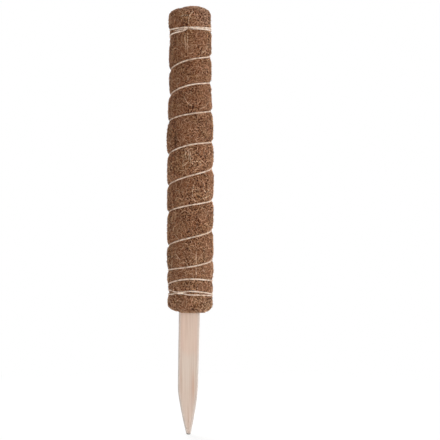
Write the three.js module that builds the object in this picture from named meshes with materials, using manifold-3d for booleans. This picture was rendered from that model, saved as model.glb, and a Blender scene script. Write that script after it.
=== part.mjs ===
// Coir moss pole: a plastic tube wrapped in a lapped coir mat, bound by one hand-wound twine,
// on a pointed wooden stake. Millimetres, +Z up. The origin is on the pole's axis at the soil line,
// which is the underside of the coir sleeve. -Y is the front, where the mat's lap edge shows.
import * as THREE from "three";
import { mergeVertices } from "three/addons/utils/BufferGeometryUtils.js";
import Module from "manifold-3d";

const wasm = await Module();
wasm.setup();

// Sleeve
const SLEEVE_LENGTH = 286;
const MAT_BELLY = 7.4; // mat thickness at the pillows, low on the pole
const MAT_HEAD = 5.6; // the same near the top, where the mat is pulled tighter
const MAT_FOOT = 6.7; // the same at the bottom hem
const FOOT_BLEND = 55; // height over which the foot swells to the belly
const HEAD_BLEND_START = 160; // height where the belly begins to draw in to the head
const HEAD_BLEND_END = 200;
const GROOVE_DEPTH = 2.2; // how far the twine sinks into the mat
const GROOVE_HALF_WIDTH = 2.5; // flat floor of the groove, to each side of the twine
const GROOVE_WALL = 2.6; // height over which the mat swells beside a groove
const PILLOW_FULL_GAP = 13; // turns this far apart leave a full pillow between them
const PILLOW_CROWN = 0.25; // share of the swelling that is the soft crown of a pillow
const HEAD_TUCK_DEPTH = 9.2; // the top hem turns in over this height
const HEAD_TUCK_SKEW = 1.6; // and lower on the left, higher on the right
const HEAD_TUCK_REACH = 11; // and this far towards the axis
const FOOT_TUCK_DEPTH = 8;
const FOOT_TUCK_REACH = 8;
const RIM_COVER_HEAD = 9; // coir over the tube's upper rim
const RIM_COVER_FOOT = 4; // coir under the tube's lower rim

// Lap, where the mat's outer end lies over its inner end
const LAP_EDGE_DEG = -39; // from the front, to the left
const LAP_OVERLAP_DEG = 42;
const LAP_STEP = 0.9;
const LAP_FADE_DEG = 75;
const LAP_GAP = 0.4;

// Twine, wound by hand from its tucked start at the back to its tucked end at the back
const TWINE_DIAMETER = 1.6;
// Heights as shares of the sleeve's length: the two tucked ends, then each turn at the pole's right
// edge, front and left edge, from the top down
const WINDING_END_SHARES = [0.9294, 0.0531];
const WINDING_SHARES = [
  [0.9276, 0.9266, 0.9224],
  [0.9196, 0.9175, 0.9084],
  [0.8357, 0.8199, 0.7902],
  [0.7493, 0.7378, 0.7084],
  [0.6577, 0.6441, 0.6231],
  [0.5563, 0.5441, 0.5133],
  [0.4710, 0.4441, 0.4143],
  [0.3657, 0.3490, 0.3259],
  [0.2685, 0.2437, 0.2175],
  [0.1720, 0.1500, 0.1367],
  [0.1031, 0.1101, 0.0909],
  [0.0626, 0.0713, 0.0727],
  [0.0545, 0.0584, 0.0594],
];
const LOOP_STEPS = 24;
const TWINE_SIDES = 6;

// Hitches that draw together and tie the two strands of each end ring, seen from the front
const HEAD_HITCH_DEG = -20;
const FOOT_HITCH_DEG = -32;
const HITCH_GAP = 0.6; // left between the tied strands
const HITCH_PULL_TURNS = 0.07; // the strands bend towards the hitch over this share of a turn
const HITCH_STEPS = 14;

// Stake
const STAKE_WIDTH = 19.6;
const STAKE_SHOULDER_WIDTH = 18.7;
const STAKE_THICKNESS = 10;
const STAKE_EDGE = 1; // eased long edges
const STAKE_REACH = 114; // below the soil line
const STAKE_TANG = 90; // inside the tube
const STAKE_POINT = 40; // length of the sawn point
const STAKE_SHOULDER_BLEND = 7;
const STAKE_TIP_WIDTH = 3.8;
const STAKE_POINT_SKEW = 1.4; // the tip is sawn this far to the right of the blade's middle
const STAKE_LEAN_DEG = 1.15; // it leans in the tube, about the middle of its tang
const STAKE_BARE = 3; // the broad faces are clear of the sleeve from here down

// Tube, its fillings and its nails
const TUBE_WALL = 1.8;
const TUBE_SIDES = 40;
const PLUG_LENGTH = 24;
const PLUG_CROWN = 1.1;
const PLUG_EDGE = 2.5;
const PACKING_LENGTH = 18;
const NAIL_DIAMETER = 1.8;
const NAIL_LENGTH = 15;
const NAIL_HEAD_DIAMETER = 4.4;
const NAIL_HEAD_HEIGHT = 0.9;
const NAIL_POINT = 2.4;
const NAIL_HEIGHTS = { nail_left: 30, nail_right: 64 };
const NAIL_SIDES = 14;

const FIT = 0.3; // clearance between pieces that touch
const MAT_COLUMNS = 36;
const MAT_ROW = 2.4; // spacing of the mat's rows

// Values that follow from the sizes above
const TWINE_RADIUS = TWINE_DIAMETER / 2;
const BACK = Math.PI / 2;
const FRONT = -Math.PI / 2;
const LEAN = THREE.MathUtils.degToRad(STAKE_LEAN_DEG);
const LEAN_PIVOT = STAKE_TANG / 2;
const TANG_SWAY = LEAN_PIVOT * Math.tan(LEAN);
const TUBE_BORE_RADIUS = Math.hypot(STAKE_WIDTH / 2 + TANG_SWAY, STAKE_THICKNESS / 2 - STAKE_EDGE) + FIT;
const TUBE_RADIUS = TUBE_BORE_RADIUS + TUBE_WALL;
const TUBE_BOTTOM = RIM_COVER_FOOT;
const TUBE_TOP = SLEEVE_LENGTH - RIM_COVER_HEAD;
const MAT_BORE_RADIUS = TUBE_RADIUS + FIT;
const LAP_EDGE = FRONT + THREE.MathUtils.degToRad(LAP_EDGE_DEG);
const LAP_OVERLAP = THREE.MathUtils.degToRad(LAP_OVERLAP_DEG);
const LAP_FADE = THREE.MathUtils.degToRad(LAP_FADE_DEG);
const TURNS = WINDING_SHARES.length;
const CHORD_SAG = (MAT_BORE_RADIUS + MAT_BELLY) * (1 - Math.cos(Math.PI / LOOP_STEPS));

const { clamp, smoothstep } = THREE.MathUtils;

// Turn number of a front pass at an angle from the front, where the left is negative.
const frontTurn = (pass, degrees) => pass + 0.5 - degrees / 360;

const HEAD_HITCH_TURN = frontTurn(0, HEAD_HITCH_DEG);
const FOOT_HITCH_TURN = frontTurn(TURNS - 2, FOOT_HITCH_DEG);

// The measured heights as [turn, height], and the slope at each that keeps the curve from overshooting.
const MARKS = [
  [0, WINDING_END_SHARES[0]],
  ...WINDING_SHARES.flatMap((shares, turn) => shares.map((share, i) => [turn + (i + 1) / 4, share])),
  [TURNS, WINDING_END_SHARES[1]],
].map(([turn, share]) => [turn, share * SLEEVE_LENGTH]);

const chord = (i) => (MARKS[i + 1][1] - MARKS[i][1]) / (MARKS[i + 1][0] - MARKS[i][0]);

function markSlope(i) {
  if (i === 0) return chord(0);
  if (i === MARKS.length - 1) return chord(i - 1);
  const [before, after] = [chord(i - 1), chord(i)];
  const [spanBefore, spanAfter] = [MARKS[i][0] - MARKS[i - 1][0], MARKS[i + 1][0] - MARKS[i][0]];
  const middle = (before * spanAfter + after * spanBefore) / (spanBefore + spanAfter);
  const steepest = Math.min(Math.abs(before), Math.abs(after), Math.abs(middle) / 2);
  return (Math.sign(before) + Math.sign(after)) * steepest;
}

// Height of the twine after t turns, before the hitches are tied.
function looseHeight(t) {
  const next = MARKS.findIndex(([turn]) => turn > t);
  const i = next < 0 ? MARKS.length - 2 : Math.max(0, next - 1);
  const span = MARKS[i + 1][0] - MARKS[i][0];
  const x = clamp((t - MARKS[i][0]) / span, 0, 1);
  const rise = MARKS[i + 1][1] - MARKS[i][1];
  const [start, end] = [markSlope(i) * span, markSlope(i + 1) * span];
  return MARKS[i][1] + x * start + x * x * (3 * rise - 2 * start - end) + x ** 3 * (start + end - 2 * rise);
}

// How far a hitch draws each of its two strands towards the other at t turns.
function hitchPull(t, hitchTurn) {
  const spare = looseHeight(hitchTurn) - looseHeight(hitchTurn + 1) - TWINE_DIAMETER - HITCH_GAP;
  const bell = (turn) => Math.exp(-(((t - turn) / HITCH_PULL_TURNS) ** 2));
  return (spare / 2) * (bell(hitchTurn + 1) - bell(hitchTurn));
}

// Height of the twine after t turns.
const twineHeight = (t) => looseHeight(t) + hitchPull(t, HEAD_HITCH_TURN) + hitchPull(t, FOOT_HITCH_TURN);

// The twine winds clockwise as it comes down, seen from above.
const twineAngle = (t) => BACK - 2 * Math.PI * t;

// Outside of the mat at its pillows.
function pillowRadius(z) {
  const thickness =
    MAT_FOOT +
    (MAT_BELLY - MAT_FOOT) * smoothstep(z, 0, FOOT_BLEND) -
    (MAT_BELLY - MAT_HEAD) * smoothstep(z, HEAD_BLEND_START, HEAD_BLEND_END);
  return MAT_BORE_RADIUS + thickness;
}

// Floor of the groove that the twine lies in.
const grooveRadius = (z) => pillowRadius(z) - GROOVE_DEPTH;

// Heights at which the twine passes an angle, from the lowest to the highest.
function passesAt(angle) {
  const first = (((BACK - angle) / (2 * Math.PI)) % 1 + 1) % 1;
  const heights = [];
  for (let t = first; t <= TURNS; t += 1) heights.push(twineHeight(t));
  return heights.sort((a, b) => a - b);
}

// How far the mat swells at a height: 0 in a groove, 1 on a full pillow.
function swell(passes, z) {
  const above = passes.findIndex((pass) => pass > z);
  const [low, high] = [passes[above - 1], passes[above]];
  const wall = (distance) => smoothstep(distance, GROOVE_HALF_WIDTH, GROOVE_HALF_WIDTH + GROOVE_WALL);
  if (above === 0) return wall(high - z);
  if (above < 0) return wall(z - passes[passes.length - 1]);
  const full = smoothstep(high - low, 2 * GROOVE_HALF_WIDTH, PILLOW_FULL_GAP);
  const crown = 1 - PILLOW_CROWN * ((2 * z - low - high) / (high - low)) ** 2;
  return full * crown * wall(Math.min(z - low, high - z));
}

// A closed solid from rings of equal length, listed from the bottom up and anticlockwise from above.
function loft(rings) {
  const count = rings[0].length;
  const points = rings.flat();
  const faces = [];
  for (let row = 0; row + 1 < rings.length; row++)
    for (let i = 0; i < count; i++) {
      const next = (i + 1) % count;
      const [a, b] = [row * count + i, row * count + next];
      const [c, d] = [a + count, b + count];
      faces.push(a, b, d, a, d, c);
    }
  for (const [row, turn] of [[0, -1], [rings.length - 1, 1]]) {
    const middle = points.push(mean(rings[row])) - 1;
    for (let i = 0; i < count; i++) {
      const [a, b] = [row * count + i, row * count + ((i + 1) % count)];
      faces.push(middle, ...(turn > 0 ? [a, b] : [b, a]));
    }
  }
  return new THREE.BufferGeometry().setFromPoints(points).setIndex(faces);
}

function mean(points) {
  return points.reduce((sum, p) => sum.add(p), new THREE.Vector3()).divideScalar(points.length);
}

// Booleans work on manifold solids.
function solidOf(geometry) {
  const bare = geometry.clone();
  for (const name of Object.keys(bare.attributes)) if (name !== "position") bare.deleteAttribute(name);
  const merged = mergeVertices(bare, 1e-4);
  const vertProperties = new Float32Array(merged.attributes.position.array);
  return new wasm.Manifold(
    new wasm.Mesh({ numProp: 3, vertProperties, triVerts: new Uint32Array(merged.index.array) }),
  );
}

function geometryOf(solid) {
  const mesh = solid.getMesh();
  return new THREE.BufferGeometry()
    .setAttribute("position", new THREE.BufferAttribute(mesh.vertProperties, mesh.numProp))
    .setIndex(new THREE.BufferAttribute(mesh.triVerts, 1));
}

const cut = (geometry, ...tools) =>
  geometryOf(tools.reduce((solid, tool) => solid.subtract(solidOf(tool)), solidOf(geometry)));

// A solid of revolution about Z from [radius, height] pairs.
function revolve(profile, sides) {
  const points = profile.map(([radius, height]) => new THREE.Vector2(radius, height));
  return new THREE.LatheGeometry(points, sides).rotateX(Math.PI / 2);
}

// A round bar along Z.
const bar = (radius, bottom, top, sides) => revolve([[0, bottom], [radius, bottom], [radius, top], [0, top]], sides);

// A round cord along a curve.
function cord(curve, steps) {
  const section = new THREE.Shape();
  for (let i = 0; i < TWINE_SIDES; i++) {
    const angle = (2 * Math.PI * i) / TWINE_SIDES;
    const [x, y] = [TWINE_RADIUS * Math.cos(angle), TWINE_RADIUS * Math.sin(angle)];
    if (i) section.lineTo(x, y);
    else section.moveTo(x, y);
  }
  return new THREE.ExtrudeGeometry(section, { steps, extrudePath: curve, bevelEnabled: false, curveSegments: 1 });
}

// Wooden stake

// Half the stake's width at a height, with the shoulder of the point rounded over.
function stakeHalfWidth(z) {
  const shoulder = STAKE_POINT - STAKE_REACH;
  const blade = STAKE_WIDTH + ((STAKE_SHOULDER_WIDTH - STAKE_WIDTH) * clamp(z, shoulder, 0)) / shoulder;
  const slope = (STAKE_SHOULDER_WIDTH - STAKE_TIP_WIDTH) / STAKE_POINT;
  const past = shoulder + STAKE_SHOULDER_BLEND - z;
  const blended = past <= 0 ? 0 : Math.min(past, 2 * STAKE_SHOULDER_BLEND) ** 2 / (4 * STAKE_SHOULDER_BLEND);
  const straight = Math.max(0, past - 2 * STAKE_SHOULDER_BLEND);
  return (blade - slope * (blended + straight)) / 2;
}

// Where the stake's middle is at a height: it leans, and its point is sawn a little to one side.
function stakeMiddle(z) {
  const past = clamp((STAKE_POINT - STAKE_REACH - z) / STAKE_POINT, 0, 1);
  return (z - LEAN_PIVOT) * Math.tan(LEAN) + STAKE_POINT_SKEW * past;
}

// A rectangle with eased corners about that middle.
function stakeRing(z) {
  const [w, d] = [stakeHalfWidth(z), STAKE_THICKNESS / 2];
  const e = Math.min(STAKE_EDGE, w / 2);
  const corners = [
    [w, e - d], [w, d - e], [w - e, d], [e - w, d], [-w, d - e], [-w, e - d], [e - w, -d], [w - e, -d],
  ];
  return corners.map(([x, y]) => new THREE.Vector3(x + stakeMiddle(z), y, z));
}

function woodStake() {
  const shoulder = STAKE_POINT - STAKE_REACH;
  const blend = [1, 0.5, 0, -0.5, -1].map((share) => shoulder + share * STAKE_SHOULDER_BLEND);
  const heights = [-STAKE_REACH, ...blend.reverse(), -STAKE_BARE, STAKE_TANG];
  return cut(loft(heights.map(stakeRing)), ...nailTools(FIT, NAIL_LENGTH));
}

// Nails, one into each narrow edge of the stake

function nail() {
  const r = NAIL_DIAMETER / 2;
  const head = NAIL_HEAD_DIAMETER / 2;
  const profile = [
    [0, -NAIL_LENGTH], [r, NAIL_POINT - NAIL_LENGTH], [r, 0], [head, 0], [head, NAIL_HEAD_HEIGHT / 2],
    [head / 2, NAIL_HEAD_HEIGHT], [0, NAIL_HEAD_HEIGHT],
  ];
  return revolve(profile, NAIL_SIDES);
}

// Moves what is made along Z to a nail's place: head outwards, on the tube's wall.
function placedNail(geometry, name) {
  const side = name === "nail_left" ? -1 : 1;
  return geometry.rotateY((side * Math.PI) / 2).translate(side * (TUBE_RADIUS + FIT), 0, NAIL_HEIGHTS[name]);
}

// Round holes that leave room for the nails' shanks.
const nailTools = (room, depth) =>
  Object.keys(NAIL_HEIGHTS).map((name) =>
    placedNail(bar(NAIL_DIAMETER / 2 + room, -depth - room, FIT, NAIL_SIDES), name),
  );

// Pockets in the mat for the nails' heads.
const nailHeadTools = () =>
  Object.keys(NAIL_HEIGHTS).map((name) =>
    placedNail(bar(NAIL_HEAD_DIAMETER / 2 + FIT, -2 * FIT, NAIL_HEAD_HEIGHT + FIT, NAIL_SIDES), name),
  );

// Tube and its fillings

function coreTube() {
  const wall = [
    [TUBE_BORE_RADIUS, TUBE_BOTTOM], [TUBE_RADIUS, TUBE_BOTTOM], [TUBE_RADIUS, TUBE_TOP],
    [TUBE_BORE_RADIUS, TUBE_TOP], [TUBE_BORE_RADIUS, TUBE_BOTTOM],
  ];
  return cut(revolve(wall, TUBE_SIDES), ...nailTools(FIT, NAIL_LENGTH));
}

// A wad of coir pressed into the tube's upper mouth, level with the turned-in hem.
function topPlug() {
  const radius = TUBE_BORE_RADIUS - FIT;
  const profile = [
    [0, SLEEVE_LENGTH - PLUG_LENGTH], [radius - PLUG_EDGE, SLEEVE_LENGTH - PLUG_LENGTH],
    [radius, SLEEVE_LENGTH - PLUG_LENGTH + PLUG_EDGE], [radius, SLEEVE_LENGTH - PLUG_CROWN],
    [radius / 2, SLEEVE_LENGTH - PLUG_CROWN / 4], [0, SLEEVE_LENGTH],
  ];
  return revolve(profile, TUBE_SIDES);
}

// A wad of coir pushed into the tube's lower mouth, against one broad face of the stake.
function footWad(side) {
  const wad = bar(TUBE_BORE_RADIUS - FIT, FIT, PACKING_LENGTH, TUBE_SIDES);
  const width = 4 * TUBE_RADIUS;
  const face = side * (STAKE_THICKNESS / 2 + FIT);
  const rest = new THREE.BoxGeometry(width, width, width).translate(0, face - (side * width) / 2, 0);
  return cut(wad, rest);
}

// Coir mat

// How far the outer end of the mat stands above the rest, to the left of its edge.
function lapLift(column) {
  const fromEdge = 2 * Math.PI * (1 - column / MAT_COLUMNS);
  return LAP_STEP * (1 - smoothstep(fromEdge, 0, LAP_FADE));
}

// Rings of the mat's outside, from the soil line to the top. Columns run from the lap's edge to the right.
function matRings() {
  const rows = [];
  for (const share of [0, 0.25, 0.5, 0.75]) rows.push({ height: 0, tuck: 1 - share, end: -1 });
  const count = Math.round((SLEEVE_LENGTH - HEAD_TUCK_DEPTH - FOOT_TUCK_DEPTH) / MAT_ROW);
  for (let i = 0; i <= count; i++) rows.push({ height: i / count, tuck: 0, end: 0 });
  for (const share of [0.25, 0.5, 0.75, 1]) rows.push({ height: 1, tuck: share, end: 1 });
  const columns = Array.from({ length: MAT_COLUMNS }, (_, i) => LAP_EDGE + (2 * Math.PI * i) / MAT_COLUMNS);
  const passes = columns.map(passesAt);
  return rows.map(({ height, tuck, end }) =>
    columns.map((angle, i) => {
      const headDepth = HEAD_TUCK_DEPTH - HEAD_TUCK_SKEW * Math.cos(angle);
      const z = FOOT_TUCK_DEPTH + (SLEEVE_LENGTH - headDepth - FOOT_TUCK_DEPTH) * height;
      const swollen = swell(passes[i], z);
      const side = grooveRadius(z) + (GROOVE_DEPTH + lapLift(i)) * swollen;
      const bend = (tuck * Math.PI) / 2;
      const [reach, depth] = end > 0 ? [HEAD_TUCK_REACH, headDepth] : [FOOT_TUCK_REACH, FOOT_TUCK_DEPTH];
      const radius = side - reach * (1 - Math.cos(bend));
      return new THREE.Vector3(radius * Math.cos(angle), radius * Math.sin(angle), z + end * depth * Math.sin(bend));
    }),
  );
}

// The slanting gap between the two ends of the mat, right through its wall.
function lapGap() {
  const outside = MAT_BORE_RADIUS + MAT_BELLY + LAP_STEP + GROOVE_DEPTH;
  const inside = TUBE_BORE_RADIUS - TUBE_WALL;
  const outer = new THREE.Vector2(outside, 0).rotateAround(new THREE.Vector2(), LAP_EDGE);
  const inner = new THREE.Vector2(inside, 0).rotateAround(new THREE.Vector2(), LAP_EDGE - LAP_OVERLAP);
  const across = inner.clone().sub(outer).normalize().rotateAround(new THREE.Vector2(), Math.PI / 2);
  const near = across.clone().multiplyScalar(-LAP_GAP / 2);
  const far = across.clone().multiplyScalar(LAP_GAP / 2);
  const outline = [outer.clone().add(near), inner.clone().add(near), inner.clone().add(far), outer.clone().add(far)];
  const depth = SLEEVE_LENGTH + 2 * RIM_COVER_HEAD;
  return new THREE.ExtrudeGeometry(new THREE.Shape(outline), { depth, bevelEnabled: false }).translate(
    0, 0, -RIM_COVER_HEAD,
  );
}

function coirMat() {
  const bore = bar(MAT_BORE_RADIUS, TUBE_BOTTOM - FIT, TUBE_TOP + FIT, TUBE_SIDES);
  const mouths = bar(TUBE_BORE_RADIUS, -RIM_COVER_HEAD, SLEEVE_LENGTH + RIM_COVER_HEAD, TUBE_SIDES);
  return cut(loft(matRings()), bore, mouths, lapGap(), ...nailHeadTools());
}

// Twine

class Winding extends THREE.Curve {
  getPoint(share, target = new THREE.Vector3()) {
    const t = share * TURNS;
    const z = twineHeight(t);
    const radius = grooveRadius(z) + FIT + CHORD_SAG + TWINE_RADIUS;
    return target.set(radius * Math.cos(twineAngle(t)), radius * Math.sin(twineAngle(t)), z);
  }
}

// Least gap between stretches of the twine that are over half a turn apart.
function leastGap(curve) {
  const perTurn = 4 * LOOP_STEPS;
  const points = curve.getPoints(TURNS * perTurn);
  let least = Infinity;
  for (let i = 0; i < points.length; i++)
    for (let j = i + perTurn / 2; j < points.length; j++) least = Math.min(least, points[i].distanceTo(points[j]));
  return least - TWINE_DIAMETER;
}

// A hitch arches over both strands of a ring, with its two feet against the mat.
function hitch(upperTurn) {
  const lowerTurn = upperTurn + 1;
  const [top, bottom] = [twineHeight(upperTurn), twineHeight(lowerTurn)];
  const middle = (top + bottom) / 2;
  const half = (top - bottom) / 2 + TWINE_DIAMETER + FIT;
  const floor = grooveRadius(middle) + 2 * FIT;
  const crest = grooveRadius(middle) + 2 * FIT + CHORD_SAG + TWINE_DIAMETER + TWINE_RADIUS - floor;
  const angle = twineAngle((upperTurn + lowerTurn) / 2 + 0.5);
  const points = [];
  for (let i = 0; i <= HITCH_STEPS; i++) {
    const share = (Math.PI * i) / HITCH_STEPS;
    const radius = floor + crest * Math.sqrt(Math.sin(share));
    points.push(new THREE.Vector3(radius * Math.cos(angle), radius * Math.sin(angle), middle + half * Math.cos(share)));
  }
  return cord(new THREE.CatmullRomCurve3(points), HITCH_STEPS);
}

// Materials

const material = (color, roughness, metalness = 0) => new THREE.MeshStandardMaterial({ color, roughness, metalness });
const coir = material(0x7e5b46, 0.95);
const wood = material(0xd3bdae, 0.7);
const twine = material(0xcbb09d, 0.9);
const plastic = material(0x8d9294, 0.5);
const steel = material(0x9a9a98, 0.35, 1);

// Assembly

const winding = new Winding();
winding.arcLengthDivisions = TURNS * 8 * LOOP_STEPS;
console.log("least gap of the twine to itself, mm:", leastGap(winding).toFixed(2));

const pieces = [
  ["wood_stake", woodStake(), wood],
  ["core_tube", coreTube(), plastic],
  ["nail_left", placedNail(nail(), "nail_left"), steel],
  ["nail_right", placedNail(nail(), "nail_right"), steel],
  ["foot_wad_front", footWad(-1), coir],
  ["foot_wad_back", footWad(1), coir],
  ["top_plug", topPlug(), coir],
  ["coir_mat", coirMat(), coir],
  ["binding_twine", cord(winding, TURNS * LOOP_STEPS), twine],
  ["head_hitch", hitch(HEAD_HITCH_TURN), twine],
  ["foot_hitch", hitch(FOOT_HITCH_TURN), twine],
];

const mossPole = new THREE.Group();
for (const [name, geometry, finish] of pieces) {
  const mesh = new THREE.Mesh(geometry, finish.clone());
  mesh.name = name;
  mossPole.add(mesh);
}

export default mossPole;
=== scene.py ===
"""Looks of a coir moss pole: matted coir round a tube, bound by laid twine, on a sawn wooden stake.

Metres, +Z up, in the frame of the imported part. The soil line is z = 0 and -Y is the front.
"""

import math

import bpy
import numpy as np
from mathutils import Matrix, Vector, noise


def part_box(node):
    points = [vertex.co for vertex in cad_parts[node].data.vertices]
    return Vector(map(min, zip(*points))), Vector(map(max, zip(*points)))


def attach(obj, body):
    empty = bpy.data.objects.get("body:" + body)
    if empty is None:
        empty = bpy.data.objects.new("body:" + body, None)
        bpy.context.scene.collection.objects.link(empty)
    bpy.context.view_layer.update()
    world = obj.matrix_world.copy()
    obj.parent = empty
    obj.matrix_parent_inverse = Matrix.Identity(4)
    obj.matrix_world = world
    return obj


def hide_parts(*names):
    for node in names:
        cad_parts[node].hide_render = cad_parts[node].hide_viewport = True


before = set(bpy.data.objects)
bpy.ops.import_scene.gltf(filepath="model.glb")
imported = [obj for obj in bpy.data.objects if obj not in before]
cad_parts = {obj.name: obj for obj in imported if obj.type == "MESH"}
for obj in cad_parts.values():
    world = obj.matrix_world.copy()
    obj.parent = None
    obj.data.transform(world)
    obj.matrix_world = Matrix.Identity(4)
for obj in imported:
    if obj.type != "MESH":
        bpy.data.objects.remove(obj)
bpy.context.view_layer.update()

# Places read from the frame
SLEEVE_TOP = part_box("top_plug")[1].z
TUBE_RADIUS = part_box("core_tube")[1].x
TUBE_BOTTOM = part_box("core_tube")[0].z
TUBE_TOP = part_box("core_tube")[1].z
PLUG_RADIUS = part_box("top_plug")[1].x
PLUG_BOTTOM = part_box("top_plug")[0].z
STAKE_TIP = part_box("wood_stake")[0].z
STAKE_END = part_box("wood_stake")[1].z
STAKE_HALF_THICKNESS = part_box("wood_stake")[1].y
WAD_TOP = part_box("foot_wad_front")[1].z

# Camera and studio
PICTURE = 440  # pixels to a side
PIXEL = 0.4117 / PICTURE  # metres to a pixel of the picture, at the pole
POLE_PIXEL_X = 190.4
CAMERA_DISTANCE = 1.5
CAMERA_HEIGHT = 0.0861
SENSOR = 36  # in millimetres
AIM_X = (PICTURE / 2 - POLE_PIXEL_X) * PIXEL
WHITE = (1, 1, 1, 1)
WORLD_TONE = (1, 0.985, 0.97, 1)
WORLD_LIGHT = 0.36
LAMPS = (  # name, place, size and power
    ("key", (2.3, -0.6, 0.6), 0.9, 30),
    ("front", (1.25, -1.95, -0.05), 0.9, 42),
    ("fill", (-2.1, -1.3, 0.1), 1.0, 16.5),
    ("back", (-0.5, 1.8, 1.4), 1.4, 36),
)
FLOOR_HALF = 4
FLOOR_CLEARANCE = 0.0003
FLOOR_TONE = (0.8, 0.8, 0.8, 1)
SHADOW_TONE = (0.24, 0.24, 0.24, 1)  # near the tip the camera sees a glow with a soft shadow in it
SHADOW_GLOW = 0.8
SHADOW_FADE = (0.15, 0.6)  # distances from the tip over which it goes over to white

# Coir mat, as thick as in the solids, with finer grooves and fuller hems
FIT = 0.0003
MAT_BORE = TUBE_RADIUS + FIT
MAT_MOUTH = PLUG_RADIUS + FIT
MAT_BELLY = 0.0074
MAT_HEAD = 0.0056
MAT_FOOT = 0.0067
FOOT_BLEND = 0.055
HEAD_BLEND_START = 0.16
HEAD_BLEND_END = 0.212
GROOVE_DEPTH = 0.0026
RING_DEPTH = 0.0013  # the end rings are drawn less tight
TIGHT_SPAN = (0.03, 0.065, 0.242, 0.258)  # than the turns between these heights
PILLOW_FULL_GAP = 0.006
PILLOW_CROWN = 0.22
HEAD_TUCK_DEPTH = 0.0092
HEAD_TUCK_REACH = 0.011
FOOT_TUCK = 0.008
FOOT_TUCK_REACH = 0.0115
FOOT_TILT = 0.0007  # the foot hem hangs lower on the right
FOOT_TILT_LEVEL = 0.3
RIM_DROP = 0.0023  # the turned-in hem lies this far below the crown of the plug
RIM_TILT = 0.0008  # more on the left, less on the right

# Finish of the mat's surface
GROOVE_HALF_WIDTH = 0.0008
WALL_OVER_TWINE = 0.0026  # the mat bulges steeply over a turn of twine
WALL_UNDER_TWINE = 0.0045  # and slopes away gently under it
HUG = 0.5  # share of a groove's depth over which the mat closes on the sides of the twine
HUG_WIDTH = 0.0006
NAP = 0.0005  # the loose strands stand this far above the felt
LUMP = 0.0004
LUMP_SIZE = 0.011
END_LUMP_SIZE = 0.004  # on the plug and the foot wads
HEAD_FLAT = 0.0007  # the head is flatter on the right
HEAD_FLAT_START = 0.264
HEAD_FLAT_END = 0.27
DENT_DEPTH = 0.0013  # the head ring dents the mat under its left end
DENT_HEIGHT = 0.2525
DENT_SPAN = 0.006
DENT_REACH = 0.7  # in radians round the mat
HEM_PAINTED_SHADE = 0.6  # the seam round the plug is dark with painted shade
HEM_ROWS = 2
MAT_COLUMNS = 200
MAT_ROW = 0.00065
FOOT_BENDS = 14
HEAD_BENDS = 15
BORE_ROWS = (  # radii and heights, from the head's mouth down to the foot's
    (MAT_MOUTH, TUBE_TOP + FIT),
    (MAT_BORE, TUBE_TOP + FIT),
    (MAT_BORE, TUBE_BOTTOM - FIT),
    (MAT_MOUTH, TUBE_BOTTOM - FIT),
    (MAT_MOUTH, NAP),
)

# Lap of the mat, left of the front, a few degrees further round than in the solids
LAP_EDGE = math.radians(-90 - 44.5)
LAP_FADE = math.radians(75)
LAP_STEP = 0.0009
LAP_OPEN_HEIGHT = 0.161  # its edge stands open here, between two turns
LAP_OPEN_SPAN = 0.012
LAP_OPEN_STEP = 0.0007
LAP_GAP_HEIGHT = 0.1598  # and a gap dark with painted shade shows beside it
LAP_GAP_SPAN = 0.0062
LAP_CREVICE = 0.002
LAP_CREVICE_LEAST = 0.2  # share of it that runs on along the rest of the edge
LAP_CREVICE_WIDTH = math.radians(5.5)

# Winding of the twine, much as the solids have it, but with the strands of the end rings closer together.
# Heights in millimetres at the right edge, the front and the left edge, from the top turn down
WINDING = np.array([
    [264.5, 264.1, 263.4],
    [262.8, 262.9, 257.5],
    [239.0, 234.5, 226.0],
    [214.3, 211.0, 202.6],
    [188.1, 184.2, 178.2],
    [159.1, 155.6, 146.8],
    [134.7, 127.0, 118.0],
    [104.6, 99.8, 93.2],
    [76.8, 69.7, 62.2],
    [49.2, 42.9, 39.1],
    [29.5, 31.5, 26.0],
    [17.0, 20.3, 20.8],
    [15.6, 16.9, 17.0],
]) / 1000
TWINE_START = 0.2633  # both ends run in under the turn beside them
TWINE_END = 0.0164
TWINE_RADIUS = 0.0007
TWINE_SEAT = 0.00095  # from the groove's floor to the twine's middle
TURNS = len(WINDING)
POINTS_PER_TURN = 72
HEAD_HITCH_TURN = 0.5 + 16 / 360
FOOT_HITCH_TURN = TURNS - 1.5 + 32 / 360
HEAD_DROP = 0.0016  # the second strand of the head ring drops away past the hitch
HEAD_DROP_SPAN = (-0.012, 0.012, 0.012, 0.2)  # in turns from the hitch
FOOT_REACH = 0.06  # in turns, from the foot hitch to where its strands part
FOOT_STRAND_GAP = 1.5 * TWINE_RADIUS
TUCK = 0.0021  # the ends of the twine are pushed into the mat
TUCK_REACH = 0.09  # in turns
RIDE = 0.0004  # the second strand of the head ring rides up on the first
RIDE_SPAN = (1.27, 1.38, 1.5, 1.62)  # in turns from the start
DIVE = 0.0022  # and dips into the mat just right of the hitch
DIVE_SPAN = (1.465, 1.488, 1.522, 1.54)

# Laid twine
PLIES = 3
PLY_RADIUS = 0.00035
PLY_OFFSET = 0.00037
LAY = 0.0052  # length of one twist
STEPS_PER_TWIST = 9.0
PLY_SIDES = 6
PLY_GRAIN = 500.0
PLY_GIRTHS = (0.5, 0.75)  # range of girth and the least, against the ply's radius

# Hitches
WRAP_TURNS = 1.25
WRAP_START = -1.9  # angle at which a wrap begins, behind and below
WRAP_POINTS = 40
WRAP_HEIGHT = 0.95 * TWINE_RADIUS  # past the strands that it ties
WRAP_DEPTH = 1.15 * TWINE_RADIUS
WRAP_LEAN = 1.5 * TWINE_RADIUS  # sideways, each turn
WRAP_SHIFT = 0.6  # turn at which it crosses the hitch's middle
TAIL_POINTS = 20
TAIL_START = 0.012  # in turns from the hitch
HEAD_TAIL_END = 0.1
FOOT_TAIL_END = 0.03
TAIL_OUT = 0.0004  # the tail begins above the strands and sinks in between them
TAIL_IN = -0.0009
HITCH_GIRTH = 0.6  # the hitches are tied with thinner twine

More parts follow.
